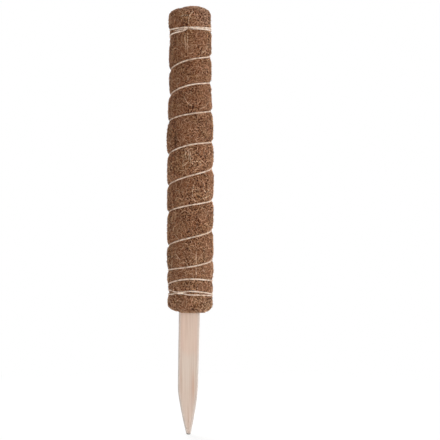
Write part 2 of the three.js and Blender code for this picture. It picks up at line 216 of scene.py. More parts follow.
# Coir strands
EVENNESS = 0.75  # least distance between strands, against the mean one
CROWDING = 4.0  # strands tried for each one laid
FLOW_GRAIN = 70.0  # neighbouring strands run much the same way, which turns slowly over the mat
FLOW_TURN = 14.0
FLOW_SCATTER = 0.7
WAVE_GRAIN = 180.0
WAVE_SPREAD = 400.0  # every strand has its own waves
HOP_GRAIN = 260.0  # strands pass over and under each other
HOP_SPREAD = 300.0
STRAND_SIDES = 3
STRAND_GIRTHS = (0.7, 0.65)  # range of girth and the least, against the layer's thickness
LAYERS = {  # from the felt outwards
    "coir_under": dict(
        Density=1.1e5, Sweep=1.1, Small=0.006, Large=0.012, Thickness=0.0002, Lift=0.0, Layers=0.0003,
        Wave=0.005, Dark=0.18, Pale=0.35, Seed=3,
    ),
    "coir_mid": dict(
        Density=1.1e5, Sweep=2.4, Small=0.0018, Large=0.005, Thickness=0.00019, Lift=0.0001, Layers=0.0005,
        Wave=0.003, Dark=0.36, Pale=0.53, Seed=5,
    ),
    "coir_curls": dict(
        Density=1.1e5, Sweep=4.0, Small=0.0006, Large=0.0016, Thickness=0.00019, Lift=0.0003,
        Layers=0.0006, Wave=0.0025, Dark=0.44, Pale=0.7, Seed=4,
    ),
    "coir_coils": dict(
        Density=0.9e5, Sweep=2.8, Small=0.0009, Large=0.0022, Thickness=0.0002, Lift=0.0004, Layers=0.0007,
        Wave=0.003, Dark=0.5, Pale=0.76, Seed=9,
    ),
    "coir_pale": dict(
        Density=0.35e5, Sweep=1.8, Small=0.0016, Large=0.0055, Thickness=0.00022, Lift=0.0006,
        Layers=0.0004, Stray=0.0008, Wave=0.004, Dark=0.62, Pale=0.9, Seed=6,
    ),
}
DEEP_LAYERS = ("coir_under", "coir_mid")
TUFT = dict(Density=7e5, Sweep=2.6, Small=0.0015, Layers=0.0006, Wave=0.003, Dark=0.1, Pale=0.9)
PLUG_TUFT = dict(**TUFT, Large=0.004, Seed=7)
WAD_TUFT = dict(**TUFT, Large=0.003, Seed=8)
LOOSE_SIDES = 6
LOOSE_STEP = 0.0006
LOOSE_WAVE_GRAIN = 220.0
LOOSE_LIFT = 0.0005
LOOSE_POINTS = 4  # points laid for each one read off the photograph

# Loose pale strands on the front, as angles to the right of the front and heights in millimetres
LOOSE_STRANDS = [
    [(7, 279), (-3, 275), (-5, 271), (-5, 267)],
    [(-28, 274.4), (-17, 275.3), (-6, 275)],
    [(-14, 259), (-15, 254), (-13, 248), (-14, 242)],
    [(-8.5, 258.5), (-8, 252), (-9, 246), (-8, 241)],
    [(58, 248), (46, 244), (32, 239.4)],
    [(-18, 203), (-14, 198), (-6, 193.6), (6, 191.2)],
    [(63, 199), (54, 195), (43, 191.3), (23, 188.2)],
    [(-11, 151), (-12, 147), (-10, 142)],
    [(-4, 150.5), (-3, 146), (-4, 141.5)],
    [(0.5, 149.5), (1, 145), (0, 141)],
    [(-3, 141), (-12, 137.5), (-20, 135)],
    [(-2, 140), (8, 138), (13, 135.5)],
    [(2, 139.8), (14, 140.2), (25, 139.4), (29, 137.6), (20, 135.6)],
    [(33, 119.5), (34.5, 114), (42, 110.8), (52, 113.6), (51.5, 118.4)],
    [(8, 120.3), (5.5, 111), (4, 105.8), (12, 104.6)],
    [(26, 105.5), (42, 107), (58, 109.2)],
    [(15, 57), (14, 50), (15, 45.5)],
    [(14, 41), (15, 37), (14.5, 32.5)],
    [(-39, 54.8), (-32, 52), (-25, 49)],
]

# Stake, as the solids have it, with the point's cuts a little rounded
STAKE_WIDTH = 0.0196
STAKE_SHOULDER_WIDTH = 0.0187
STAKE_TIP_WIDTH = 0.0038
STAKE_POINT = 0.04
STAKE_POINT_SKEW = 0.0014
STAKE_POINT_BULGE = 0.0004
STAKE_SHOULDER_BLEND = 0.007
STAKE_EDGE = 0.001
STAKE_LEAN = math.radians(1.15)
LEAN_PIVOT = STAKE_END / 2
CORNER_POINTS = 5
FACE_SHARES = (0.04, 0.1, 0.2, 0.35, 0.5, 0.65, 0.8, 0.9, 0.96)
TIP_ROWS = (  # heights, and how far the ring there is drawn in
    (STAKE_TIP, 0.0008),
    (STAKE_TIP + 0.0001, 0.0005),
    (STAKE_TIP + 0.0004, 0.0002),
    (STAKE_TIP + 0.0009, 0.00005),
)
BLADE_START = STAKE_TIP + 0.002
BLADE_END = STAKE_END - 0.001
BLADE_ROW = 0.0015
END_ROWS = ((STAKE_END - 0.0006, 0.0001), (STAKE_END, 0.0006))
CHIP_DEPTH = 0.00005
CHIP_SIZE = 0.003
CHIP_STRETCH = (1, 1, 0.25)
SPLINTER_DEPTH = 0.00004
SPLINTER_SIZE = 0.0012
SPLINTER_STRETCH = (1, 1, 0.1)
SIDE_START = 0.45 * STAKE_EDGE  # of the narrow sides, in from the broad faces
SIDE_GREY = 0.6  # the narrow sides are sawn rough, and the point's cuts more so
POINT_GREY_START = 0.002
POINT_GREY_REACH = 0.006
# grey painted shade along the edges of the broad faces
EDGE_PAINTED_SHADE = 0.7
EDGE_PAINTED_SHADE_SPAN = (0.0005, 0.0028)
# painted shade on the tip's end, where it faces down
TIP_PAINTED_SHADE_SPAN = (0.0004, 0.0014)
KNOT_PLACE = (0.0026, -0.005, -0.068)
KNOT_REACH = (0.0016, 0.004, 0.019)
KNOT_DEPTH = 0.55

# Coir plug and foot wads
PLUG_COLUMNS = 72
PLUG_RINGS = 16
PLUG_EYE = 0.02  # share of its radius that the last ring of its crown has
PLUG_SIDE = (  # rows up its side, as shares of its radius and heights
    (0.03, PLUG_BOTTOM),
    (0.5, PLUG_BOTTOM),
    (0.85, PLUG_BOTTOM + 0.001),
    (1, PLUG_BOTTOM + 0.003),
    (1, SLEEVE_TOP - 0.008),
)
WAD_ROWS = ((0.3, FIT), (0.9, FIT), (1, 0.0012), (1, 0.006), (1, 0.012), (1, WAD_TOP))
WAD_SHOWN_ROWS = 2
WAD_ARC_POINTS = 25
WAD_CHORD_POINTS = 14

# Painted shade in the holes between the fibres, and painted light on the coir on the right and most at the
# head
MEAN_PAINTED_SHADE = 0.25
GAP_PAINTED_SHADE = 0.95
PAINTED_LIGHT_SIDE = 0.03
PAINTED_LIGHT_SPAN = (0.002, 0.016)
PAINTED_LIGHT_HEAD = 0.13
PAINTED_LIGHT_PLACE = (0.0145, -0.013, 0.275)
PAINTED_LIGHT_REACH = (0.013, 0.02, 0.016)


# Small helpers for node trees and meshes


def socket_of(sockets, key):
    """A socket by number, or the shown one of that name."""
    if isinstance(key, int):
        return sockets[key]
    return next(s for s in sockets if s.name == key and s.enabled)


def output(made, key):
    return socket_of(made.outputs, key)


def node(tree, kind, feeds=None, **settings):
    """Adds a node. A feed is a value, a socket, or a node whose first shown output is meant."""
    made = tree.nodes.new(kind)
    for name, value in settings.items():
        setattr(made, name, value)
    for key, feed in (feeds or {}).items():
        target = socket_of(made.inputs, key)
        if isinstance(feed, bpy.types.Node):
            feed = next(s for s in feed.outputs if s.enabled)
        if isinstance(feed, bpy.types.NodeSocket):
            tree.links.new(feed, target)
        else:
            target.default_value = feed
    return made


def calc(tree, operation, *values):
    return node(tree, "ShaderNodeMath", dict(enumerate(values)), operation=operation)


def vector_calc(tree, operation, *values, scale=None):
    feeds = dict(enumerate(values))
    if scale is not None:
        feeds["Scale"] = scale
    return node(tree, "ShaderNodeVectorMath", feeds, operation=operation)


def map_range(tree, value, low, high, to_low=0.0, to_high=1.0):
    """Takes values from low to high over to those from to_low to to_high, and holds them there."""
    feeds = {"Value": value, "From Min": low, "From Max": high, "To Min": to_low, "To Max": to_high}
    return output(node(tree, "ShaderNodeMapRange", feeds), 0)


def start_tree(name, **sizes):
    """A geometry tree with a geometry input, named number inputs and a material input."""
    tree = bpy.data.node_groups.new(name, "GeometryNodeTree")
    tree.interface.new_socket("Geometry", in_out="OUTPUT", socket_type="NodeSocketGeometry")
    tree.interface.new_socket("Geometry", in_out="INPUT", socket_type="NodeSocketGeometry")
    for label, value in sizes.items():
        kind = "NodeSocketInt" if isinstance(value, int) else "NodeSocketFloat"
        tree.interface.new_socket(label, in_out="INPUT", socket_type=kind).default_value = value
    tree.interface.new_socket("Material", in_out="INPUT", socket_type="NodeSocketMaterial")
    return tree, node(tree, "NodeGroupInput").outputs


def end_tree(tree, geometry, material):
    real = node(tree, "GeometryNodeRealizeInstances", {"Geometry": geometry})
    smooth = node(tree, "GeometryNodeSetShadeSmooth", {"Geometry": real})
    done = node(tree, "GeometryNodeSetMaterial", {"Geometry": smooth, "Material": material})
    node(tree, "NodeGroupOutput", {"Geometry": done})
    return tree


def new_object(name, data, material=None):
    made = bpy.data.objects.new(name, data)
    bpy.context.scene.collection.objects.link(made)
    if material:
        data.materials.append(material)
    return made


def grown(name, mesh, tree, material, **sizes):
    """A piece made by a geometry tree from a mesh, as a plain mesh."""
    made = new_object(name, mesh)
    step = made.modifiers.new("Growth", "NODES")
    step.node_group = tree
    wanted = {**sizes, "Material": material}
    for item in tree.interface.items_tree:
        if item.in_out == "INPUT" and item.name in wanted:
            step[item.identifier] = wanted[item.name]
    bpy.context.view_layer.update()
    result = made.evaluated_get(bpy.context.evaluated_depsgraph_get())
    plain = bpy.data.meshes.new_from_object(result)
    made.modifiers.clear()
    made.data = plain
    plain.name = name
    return made


def keep(piece, slot, *nodes):
    """Puts a finished piece on the part's one body and hides the solids that it stands for. Its slot is
    not used.
    """
    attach(piece, "root")
    if nodes:
        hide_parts(*nodes)
    return piece


def grid_mesh(name, grid, closed_rows=False, capped=False):
    """A skin over rows of points that run bottom to top, each anticlockwise seen from above."""
    rows, columns = grid.shape[:2]
    number = np.arange(rows * columns).reshape(rows, columns)
    low = number if closed_rows else number[:-1]
    high = np.roll(number, -1, 0) if closed_rows else number[1:]
    faces = np.stack([low, np.roll(low, -1, 1), np.roll(high, -1, 1), high], -1).reshape(-1, 4).tolist()
    if capped:
        faces.append(number[0, ::-1].tolist())
        faces.append(number[-1].tolist())
    mesh = bpy.data.meshes.new(name)
    mesh.from_pydata(grid.reshape(-1, 3).tolist(), [], faces)
    mesh.shade_smooth()
    return mesh


def line_mesh(name, points):
    """A chain of edges through points."""
    mesh = bpy.data.meshes.new(name)
    mesh.from_pydata(np.asarray(points).tolist(), [(i, i + 1) for i in range(len(points) - 1)], [])
    return mesh


def mark(mesh, name, values, kind="FLOAT", domain="POINT"):
    """Keeps a value for each point or face of a mesh."""
    mesh.attributes.new(name, kind, domain).data.foreach_set("value", np.ravel(values))


def mark_outside(mesh, shown):
    """Marks the faces that carry strands."""
    mark(mesh, "outside", shown, "BOOLEAN", "FACE")


def grain(points, size, seed):
    """Smooth noise about zero, of a given grain, for each point."""
    shift = Vector((seed * 7.3, seed * 3.1, seed * 5.7))
    flat = np.asarray(points).reshape(-1, 3) / size
    values = [noise.noise(Vector(p) + shift) for p in flat]
    return np.array(values).reshape(np.asarray(points).shape[:-1])


def outward(grid):
    """Unit normals of a skin over rows of points, closed around each row."""
    up = np.gradient(grid, axis=0)
    around = np.roll(grid, -1, 1) - np.roll(grid, 1, 1)
    across = np.cross(around, up)
    return across / np.maximum(np.linalg.norm(across, axis=-1, keepdims=True), 1e-15)


def smoothstep(x, low, high):
    share = np.clip((x - low) / (high - low), 0, 1)
    return share * share * (3 - 2 * share)


def hump(x, span):
    """Rises from 0 to 1 between the first two values of a span and falls between the last two."""
    return smoothstep(x, *span[:2]) * (1 - smoothstep(x, *span[2:]))


def bell(x, middle, reach, power):
    """1 at the middle, falling off past the reach, more abruptly with a higher power."""
    return np.exp(-(((x - middle) / reach) ** power))


def colour(red, green, blue):
    """A colour given by the levels of a picture, as the linear one that a shader takes."""
    def linear(level):
        level /= 255
        return level / 12.92 if level <= 0.04045 else ((level + 0.055) / 1.055) ** 2.4
    return (linear(red), linear(green), linear(blue), 1)


# Camera, floor and light


def mix_shader(tree, share, first, second):
    return node(tree, "ShaderNodeMixShader", {0: share, 1: first, 2: second})


def glow(tree, strength):
    return node(tree, "ShaderNodeEmission", {"Color": WHITE, "Strength": strength})


def aim(holder, place, target):
    holder.location = place
    holder.rotation_euler = (Vector(target) - Vector(place)).to_track_quat("-Z", "Y").to_euler()


def make_camera():
    lens = bpy.data.cameras.new("camera")
    lens.sensor_width = SENSOR
    lens.lens = SENSOR * CAMERA_DISTANCE / (PICTURE * PIXEL)
    camera = new_object("camera", lens)
    aim(camera, (0, -CAMERA_DISTANCE, CAMERA_HEIGHT), (AIM_X, 0, CAMERA_HEIGHT))
    bpy.context.scene.camera = camera


def seen_directly(tree):
    """1 for what the camera, metal or glass shows of the background, 0 for the light that it gives."""
    path = node(tree, "ShaderNodeLightPath")
    gloss = calc(tree, "MAXIMUM", output(path, "Is Glossy Ray"), output(path, "Is Transmission Ray"))
    return calc(tree, "MAXIMUM", output(path, "Is Camera Ray"), gloss)


def make_world():
    world = bpy.data.worlds.new("studio")
    bpy.context.scene.world = world
    world.use_nodes = True
    tree = world.node_tree
    tree.nodes.clear()
    light = node(tree, "ShaderNodeBackground", {"Color": WORLD_TONE, "Strength": WORLD_LIGHT})
    white = node(tree, "ShaderNodeBackground", {"Color": WHITE, "Strength": 1})
    node(tree, "ShaderNodeOutputWorld", {"Surface": mix_shader(tree, seen_directly(tree), light, white)})


def floor_material():
    """Pale, with the shadow near the tip, fading to white, and clear from below."""
    material = bpy.data.materials.new("floor")
    material.use_nodes = True
    tree = material.node_tree
    tree.nodes.clear()
    flat = vector_calc(tree, "MULTIPLY", output(node(tree, "ShaderNodeTexCoord"), "Object"), (1, 1, 0))
    fade = map_range(tree, output(vector_calc(tree, "LENGTH", flat), "Value"), *SHADOW_FADE)
    lit = node(tree, "ShaderNodeBsdfDiffuse", {"Color": FLOOR_TONE})
    shaded = node(tree, "ShaderNodeBsdfDiffuse", {"Color": SHADOW_TONE})
    near = node(tree, "ShaderNodeAddShader", {0: shaded, 1: glow(tree, SHADOW_GLOW)})
    seen = mix_shader(tree, fade, near, glow(tree, 1))
    pale = mix_shader(tree, seen_directly(tree), lit, seen)
    clear = node(tree, "ShaderNodeBsdfTransparent")
    below = output(node(tree, "ShaderNodeNewGeometry"), "Backfacing")
    node(tree, "ShaderNodeOutputMaterial", {"Surface": mix_shader(tree, below, pale, clear)})
    return material


def make_floor():
    mesh = bpy.data.meshes.new("floor")
    corners = [(-1, -1), (1, -1), (1, 1), (-1, 1)]
    height = STAKE_TIP - FLOOR_CLEARANCE
    mesh.from_pydata([(FLOOR_HALF * x, FLOOR_HALF * y, height) for x, y in corners], [], [(0, 1, 2, 3)])
    new_object("floor", mesh, floor_material())


def make_lamp(name, place, size, power):
    lamp = bpy.data.lights.new(name, "AREA")
    lamp.shape = "DISK"
    lamp.size = size
    lamp.energy = power
    aim(new_object(name, lamp), place, (0, 0, CAMERA_HEIGHT))


make_camera()
make_world()
make_floor()
for lamp in LAMPS:
    make_lamp(*lamp)
bpy.context.scene.view_settings.view_transform = "Standard"


# Materials


def start_material(name, roughness, specular):
    material = bpy.data.materials.new(name)
    material.use_nodes = True
    tree = material.node_tree
    shader = tree.nodes["Principled BSDF"]
    shader.inputs["Roughness"].default_value = roughness
    shader.inputs["Specular IOR Level"].default_value = specular
    return material, tree, shader


def places(tree, stretch=(1, 1, 1)):
    """Object coordinates, in metres, stretched along the axes."""
    where = node(tree, "ShaderNodeTexCoord")
    return node(tree, "ShaderNodeMapping", {"Vector": output(where, "Object"), "Scale": stretch})


def axis(tree, name):
    """Object coordinate along X, Y or Z."""
    return output(node(tree, "ShaderNodeSeparateXYZ", {0: places(tree)}), name)


def noise_at(tree, where, scale, detail, rough=0.5):
    feeds = {"Vector": where, "Scale": scale, "Detail": detail, "Roughness": rough}
    return output(node(tree, "ShaderNodeTexNoise", feeds), 0)


def spot(tree, middle, reach):
    """1 at a place, falling to 0 over a reach along each axis."""
    where = output(node(tree, "ShaderNodeTexCoord"), "Object")
    scaled = vector_calc(tree, "DIVIDE", vector_calc(tree, "SUBTRACT", where, middle), reach)
    return map_range(tree, output(vector_calc(tree, "LENGTH", scaled), "Value"), 1, 0.2)


def attribute(tree, name):
    return output(node(tree, "ShaderNodeAttribute", attribute_name=name), "Fac")


def ramp(tree, value, *stops):
    made = node(tree, "ShaderNodeValToRGB", {"Fac": value})
    points = made.color_ramp.elements
    while len(points) < len(stops):
        points.new(0.5)
    for point, (place, shade) in zip(points, stops):
        point.position = place
        point.color = shade
    return made.outputs[0]


def mixed(tree, share, first, second, blend="MIX"):
    feeds = {0: share, 6: first, 7: second}
    return node(tree, "ShaderNodeMix", feeds, data_type="RGBA", blend_type=blend).outputs[2]


def paint(tree, shader, shade):
    tree.links.new(shade, shader.inputs["Base Color"])


def bump(tree, shader, height, depth):
    made = node(tree, "ShaderNodeBump", {"Height": height, "Distance": depth, "Strength": 1.0})
    tree.links.new(made.outputs[0], shader.inputs["Normal"])


def painted_hole_shade(tree, hole_shade):
    """Share of painted shade in the holes between the fibres, strongest in the open patches of the mat."""
    fine = noise_at(tree, places(tree, (1, 1, 0.65)), scale=1100, detail=0)
    crack = map_range(tree, fine, 0.5, 0.58, to_high=0.85 * hole_shade)
    upright = places(tree, (1, 1, 0.8))
    cells = node(tree, "ShaderNodeTexVoronoi", {"Vector": upright, "Scale": 440, "Randomness": 0.85})
    hole = map_range(tree, output(cells, "Distance"), 0.37, 0.26)
    deepest = calc(tree, "MAXIMUM", hole, crack)
    open_share = map_range(tree, noise_at(tree, upright, scale=85, detail=1), 0.4, 0.58, 0.5, 1.15)
    # the painted shade in the holes is weaker on the left
    side_contrast = map_range(tree, axis(tree, "X"), -0.009, -0.004, 0.72, 1.12)
    contrast = calc(tree, "MULTIPLY", open_share, side_contrast)
    from_mean = calc(tree, "SUBTRACT", deepest, MEAN_PAINTED_SHADE)
    uneven = calc(tree, "MULTIPLY_ADD", from_mean, contrast, MEAN_PAINTED_SHADE)
    # painted shade in the gaps beside the lap's edge and in the seam round the plug
    return calc(tree, "MAXIMUM", uneven, calc(tree, "MULTIPLY", attribute(tree, "gap"), GAP_PAINTED_SHADE))


def coir_colour(tree, share, hole_shade):
    """Brown from the darkest to the palest strand.

    It is redder or more olive in patches, drifts in tone along the pole, has painted light on the right
    and most at the head, and painted shade in the holes and gaps.
    """
    base = ramp(
        tree, share,
        (0.0, colour(117, 75, 50)), (0.3, colour(175, 124, 90)), (0.6, colour(215, 167, 129)),
        (0.85, colour(242, 201, 165)), (1.0, colour(255, 227, 195)),
    )
    tone = ramp(
        tree, noise_at(tree, places(tree), scale=70, detail=2),
        (0.34, colour(255, 249, 246)), (0.5, colour(255, 253, 254)), (0.66, colour(252, 253, 247)),
    )
    drift = ramp(
        tree, map_range(tree, axis(tree, "Z"), 0, SLEEVE_TOP),
        (0.1, WHITE), (0.21, colour(246, 241, 236)), (0.49, colour(251, 246, 241)),
        (0.58, colour(241, 235, 231)), (0.66, colour(237, 229, 223)), (0.87, colour(237, 229, 223)),
        (0.94, colour(244, 238, 234)), (0.985, colour(254, 250, 250)),
    )
    drifted = mixed(tree, 1.0, mixed(tree, 1.0, base, tone, "MULTIPLY"), drift, "MULTIPLY")
    # painted light: paler coir on the right side, and most on the right of the head
    right = map_range(tree, axis(tree, "X"), *PAINTED_LIGHT_SPAN, to_high=PAINTED_LIGHT_SIDE)
    painted_light = calc(tree, "MULTIPLY_ADD", spot(tree, PAINTED_LIGHT_PLACE, PAINTED_LIGHT_REACH), PAINTED_LIGHT_HEAD, right)
    painted_lit = mixed(tree, painted_light, drifted, colour(236, 214, 190))
    # painted shade in the holes and gaps, mixing the coir towards dark brown
    return mixed(tree, painted_hole_shade(tree, hole_shade), painted_lit, colour(64, 33, 18))


def strand_material(name, hole_shade):
    material, tree, shader = start_material(name, roughness=0.7, specular=0.22)
    streak = noise_at(tree, places(tree), scale=900, detail=2)
    share = calc(tree, "ADD", attribute(tree, "tint"), calc(tree, "MULTIPLY_ADD", streak, 0.3, -0.15))
    paint(tree, shader, coir_colour(tree, share, hole_shade))
    return material


def felt_material():
    material, tree, shader = start_material("coir_felt", roughness=0.9, specular=0.1)
    fine = noise_at(tree, places(tree), scale=700, detail=4, rough=0.65)
    share = calc(tree, "MULTIPLY_ADD", fine, 0.8, -0.3)
    paint(tree, shader, coir_colour(tree, share, hole_shade=0.9))
    bump(tree, shader, fine, depth=0.0012)
    return material


def twine_material():
    """Pale twine, uneven along its plies, with a little painted shade from the middle to the right."""
    material, tree, shader = start_material("twine", roughness=0.8, specular=0.2)
    fine = noise_at(tree, places(tree), scale=2200, detail=3, rough=0.6)
    patch = noise_at(tree, places(tree), scale=360, detail=1)
    share = calc(tree, "ADD", calc(tree, "MULTIPLY", fine, 0.4), calc(tree, "MULTIPLY", patch, 0.6))
    tone = ramp(
        tree, share,
        (0.36, colour(188, 155, 130)), (0.5, colour(236, 209, 188)), (0.64, colour(252, 239, 224)),
    )
    # painted shade from the middle to the right, so the left looks better lit
    painted_side_shade = ramp(
        tree, map_range(tree, axis(tree, "X"), -0.02, 0.02),
        (0.2, WHITE), (0.5, colour(238, 238, 238)), (0.8, colour(241, 241, 241)),
    )
    paint(tree, shader, mixed(tree, 1.0, tone, painted_side_shade, "MULTIPLY"))
    bump(tree, shader, fine, depth=0.0002)
    return material


def wood_material():
    """Pale softwood with its grain along the stake, a knot's streak, greyer sawn sides and grey painted
    shade on its edges and end.
    """
    material, tree, shader = start_material("pale_softwood", roughness=0.62, specular=0.3)
    fibre = noise_at(tree, places(tree, (1, 1, 0.012)), scale=1500, detail=3, rough=0.6)
    band = noise_at(tree, places(tree, (1, 0.35, 0.05)), scale=170, detail=2.5, rough=0.55)
    streak = noise_at(tree, places(tree, (1, 0.6, 0.05)), scale=420, detail=2)
    base = ramp(
        tree, band,
        (0.28, colour(197, 172, 160)), (0.45, colour(207, 188, 176)), (0.6, colour(210, 194, 183)),
        (0.75, colour(200, 178, 167)),
    )
    pores = ramp(tree, fibre, (0.25, colour(226, 216, 208)), (0.55, WHITE))
    red = ramp(tree, streak, (0.62, WHITE), (0.76, colour(240, 214, 200)))
    grained = mixed(tree, 0.7, base, pores, "MULTIPLY")
    streaked = mixed(tree, 0.8, grained, red, "MULTIPLY")
    knotty = calc(tree, "MULTIPLY", spot(tree, KNOT_PLACE, KNOT_REACH), KNOT_DEPTH)
    stained = mixed(tree, knotty, streaked, colour(196, 156, 136))
    drift = calc(tree, "MULTIPLY_ADD", calc(tree, "SUBTRACT", band, 0.5), 0.03, axis(tree, "Z"))
    tone = ramp(
        tree, map_range(tree, drift, STAKE_TIP, 0),
        (0.0, colour(254, 252, 250)), (0.35, colour(246, 242, 237)), (0.56, colour(248, 247, 243)),
        (0.64, colour(248, 247, 243)), (0.7, colour(249, 240, 233)), (1.0, colour(250, 243, 237)),
    )
    toned = mixed(tree, 1.0, stained, tone, "MULTIPLY")
    rough = noise_at(tree, places(tree, (0.4, 0.2, 1)), scale=900, detail=3)
    grey = ramp(tree, rough, (0.35, colour(186, 176, 169)), (0.65, colour(204, 195, 188)))
    # greyer sawn sides, and grey painted shade along the edges of the broad faces
    sides = mixed(tree, attribute(tree, "sawn_and_edge_shade"), toned, grey)
    # grey painted shade on the tip's end
    paint(tree, shader, mixed(tree, attribute(tree, "end"), sides, colour(140, 136, 132)))
    bump(tree, shader, fibre, depth=0.00025)
    return material


def plastic_material():
    material, tree, shader = start_material("tube_plastic", roughness=0.45, specular=0.4)
    lines = noise_at(tree, places(tree, (1, 1, 0.01)), scale=600, detail=2)
    paint(tree, shader, ramp(tree, lines, (0.3, colour(138, 142, 144)), (0.7, colour(150, 154, 156))))
    bump(tree, shader, lines, depth=0.0001)
    return material


def steel_material():
    material, tree, shader = start_material("nail_steel", roughness=0.35, specular=0.5)
    shader.inputs["Metallic"].default_value = 1
    drawn = noise_at(tree, places(tree, (0.05, 1, 1)), scale=2500, detail=2)
    paint(tree, shader, ramp(tree, drawn, (0.3, colour(150, 150, 148)), (0.7, colour(176, 176, 174))))
    return material


# the deep layers carry the full painted shade in the holes, the upper ones less
STRAND = strand_material("coir_strand", hole_shade=0.75)
UNDER = strand_material("coir_under_strand", hole_shade=1.0)
FELT = felt_material()
TWINE = twine_material()
WOOD = wood_material()
PLASTIC = plastic_material()
STEEL = steel_material()


# Winding of the twine

MARK_TURNS = np.concatenate([[0], (np.arange(TURNS)[:, None] + [0.25, 0.5, 0.75]).ravel(), [TURNS]])
MARK_HEIGHTS = np.concatenate([[TWINE_START], WINDING.ravel(), [TWINE_END]])


def mark_slopes():
    """Slopes at the measured heights that keep the curve through them from overshooting."""
    span = np.diff(MARK_TURNS)
    chord = np.diff(MARK_HEIGHTS) / span
    middle = (chord[:-1] * span[1:] + chord[1:] * span[:-1]) / (span[:-1] + span[1:])
    steepest = np.minimum(np.minimum(np.abs(chord[:-1]), np.abs(chord[1:])), np.abs(middle) / 2)
    inner = (np.sign(chord[:-1]) + np.sign(chord[1:])) * steepest
    return np.concatenate([chord[:1], inner, chord[-1:]])


MARK_SLOPES = mark_slopes()


def loose_height(t):
    """Height of the twine after t turns, before the hitches are tied."""
    i = np.clip(np.searchsorted(MARK_TURNS, t, "right") - 1, 0, len(MARK_TURNS) - 2)
    span = MARK_TURNS[i + 1] - MARK_TURNS[i]
    x = np.clip((t - MARK_TURNS[i]) / span, 0, 1)
    rise = MARK_HEIGHTS[i + 1] - MARK_HEIGHTS[i]
    start = MARK_SLOPES[i] * span
    end = MARK_SLOPES[i + 1] * span
    square = 3 * rise - 2 * start - end
    cube = start + end - 2 * rise
    return MARK_HEIGHTS[i] + x * start + x**2 * square + x**3 * cube


def head_drop(t):
    """How far the second strand of the head ring falls below its loose height, left of the hitch."""
    return HEAD_DROP * hump(t - HEAD_HITCH_TURN - 1, HEAD_DROP_SPAN)


def foot_pull(t):
    """How far the foot hitch draws each of its two strands towards the other."""
    turn = FOOT_HITCH_TURN
    spare = loose_height(turn) - loose_height(turn + 1) - FOOT_STRAND_GAP
    return spare / 2 * (bell(t, turn + 1, FOOT_REACH, 4) - bell(t, turn, FOOT_REACH, 4))


def twine_height(t):
    return loose_height(t) - head_drop(t) + foot_pull(t)


def twine_angle(t):
    return np.pi / 2 - 2 * np.pi * t


def pillow_radius(z):
    swollen = (MAT_BELLY - MAT_FOOT) * smoothstep(z, 0, FOOT_BLEND)
    drawn = (MAT_BELLY - MAT_HEAD) * smoothstep(z, HEAD_BLEND_START, HEAD_BLEND_END)
    return MAT_BORE + MAT_FOOT + swollen - drawn


def groove_depth(z):
    return RING_DEPTH + (GROOVE_DEPTH - RING_DEPTH) * hump(z, TIGHT_SPAN)


def twine_points(t):
    z = twine_height(t)
    tucked = 1 - smoothstep(t, 0, TUCK_REACH) + smoothstep(t, TURNS - TUCK_REACH, TURNS)
    seat = pillow_radius(z) - groove_depth(z) + TWINE_SEAT
    radius = seat + RIDE * hump(t, RIDE_SPAN) - DIVE * hump(t, DIVE_SPAN) - TUCK * tucked
    return np.stack([radius * np.cos(twine_angle(t)), radius * np.sin(twine_angle(t)), z], -1)


# Coir mat


def wall(distance, reach):
    """Rise of the mat beside a turn of twine: a short steep part against the twine, then a slope."""
    close = smoothstep(distance, GROOVE_HALF_WIDTH, GROOVE_HALF_WIDTH + HUG_WIDTH)
    return HUG * close + (1 - HUG) * smoothstep(distance, GROOVE_HALF_WIDTH, GROOVE_HALF_WIDTH + reach)


def swell(angle, z):
    """How far the mat swells at heights z on one angle: 0 in a groove, 1 on a full pillow."""
    first = ((np.pi / 2 - angle) / (2 * np.pi)) % 1
    passes = np.sort(twine_height(np.arange(first, TURNS + 1e-9, 1)))
    above = np.searchsorted(passes, z)
    low = passes[np.clip(above - 1, 0, len(passes) - 1)]
    high = passes[np.clip(above, 0, len(passes) - 1)]
    gap = np.maximum(high - low, 1e-9)
    over = wall(z - low, WALL_OVER_TWINE)
    under = wall(high - z, WALL_UNDER_TWINE)
    full = smoothstep(gap, 2 * GROOVE_HALF_WIDTH, PILLOW_FULL_GAP)
    crown = 1 - PILLOW_CROWN * ((2 * z - low - high) / gap) ** 2
    between = full * crown * np.minimum(over, under)
    return np.where(above == 0, under, np.where(above == len(passes), over, between))


def lap_gap(z):
    """1 where a gap dark with painted shade shows beside the lap's edge."""
    return bell(z, LAP_GAP_HEIGHT, LAP_GAP_SPAN, 4)


def lap_crevice(from_edge, z):
    """Depth of the gap right of the lap's edge, as a share of its greatest."""
    share = LAP_CREVICE_LEAST + (1 - LAP_CREVICE_LEAST) * lap_gap(z)
    return share * (2 * np.pi - from_edge < LAP_CREVICE_WIDTH)


def lap_lift(from_edge, z):
    """How far the outer end of the mat stands up, left of its edge, less the gap right of it."""
    standing = LAP_STEP + LAP_OPEN_STEP * bell(z, LAP_OPEN_HEIGHT, LAP_OPEN_SPAN, 4)
    lift = standing * (1 - smoothstep(from_edge, 0, LAP_FADE))
    return lift - LAP_CREVICE * lap_crevice(from_edge, z)


def pressed_in(angle, z):
    """How far the mat is flattened on the right of its head and dented under the head ring's left end."""
    flat = HEAD_FLAT * max(math.cos(angle), 0) * smoothstep(z, HEAD_FLAT_START, HEAD_FLAT_END)
    from_left = math.remainder(angle - math.pi, 2 * math.pi)
    return flat + DENT_DEPTH * bell(from_left, 0, DENT_REACH, 2) * bell(z, DENT_HEIGHT, DENT_SPAN, 2)


def tuck_angle(radius, reach):
    """How far the mat's end bends round to come in from a radius to the mouth."""
    return math.acos(np.clip(1 - (radius - MAT_MOUTH) / reach, -1, 1))


